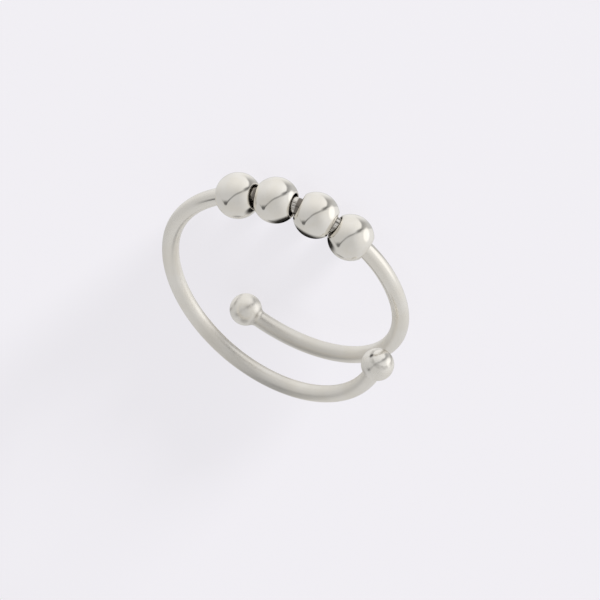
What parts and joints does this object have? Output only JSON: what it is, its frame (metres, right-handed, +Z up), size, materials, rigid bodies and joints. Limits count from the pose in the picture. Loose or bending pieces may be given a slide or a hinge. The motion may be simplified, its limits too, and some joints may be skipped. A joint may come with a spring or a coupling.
{
  "type": "spinner ring",
  "caption": "Open finger ring of round silver wire with overlapping ball ends and smooth round beads that spin on the wire",
  "frame": {"origin": "middle of the ring's box, on the surface that it lies on", "axes": "+Z up from the surface, out through the finger hole; -Y towards the row of beads; +X to the right of the beads"},
  "size_m": [0.0204, 0.0208, 0.0072],
  "materials": {
    "wire_silver": "polished sterling silver wire with fine rubbing marks",
    "bead_silver": "bright polished sterling silver"
  },
  "bodies": {
    "band": {"band": "wire_silver"},
    "bead_1": {"bead_1": "bead_silver"},
    "bead_2": {"bead_2": "bead_silver"},
    "bead_3": {"bead_3": "bead_silver"},
    "bead_4": {"bead_4": "bead_silver"}
  },
  "joints": [
    {"name": "bead_1_spin", "type": "hinge", "parent": "band", "child": "bead_1", "pos_m": [0.00481, -0.0076, 0.00213], "axis": [0.9037, 0.4191, 0.087], "continuous": true},
    {"name": "bead_2_spin", "type": "hinge", "parent": "band", "child": "bead_2", "pos_m": [0.00188, -0.00865, 0.00189], "axis": [0.985, 0.1619, 0.0603], "continuous": true},
    {"name": "bead_3_spin", "type": "hinge", "parent": "band", "child": "bead_3", "pos_m": [-0.00136, -0.00864, 0.00175], "axis": [0.9707, -0.2398, 0.0127], "continuous": true},
    {"name": "bead_4_spin", "type": "hinge", "parent": "band", "child": "bead_4", "pos_m": [-0.00425, -0.0076, 0.00175], "axis": [0.9193, -0.3935, -0.0074], "continuous": true}
  ]
}
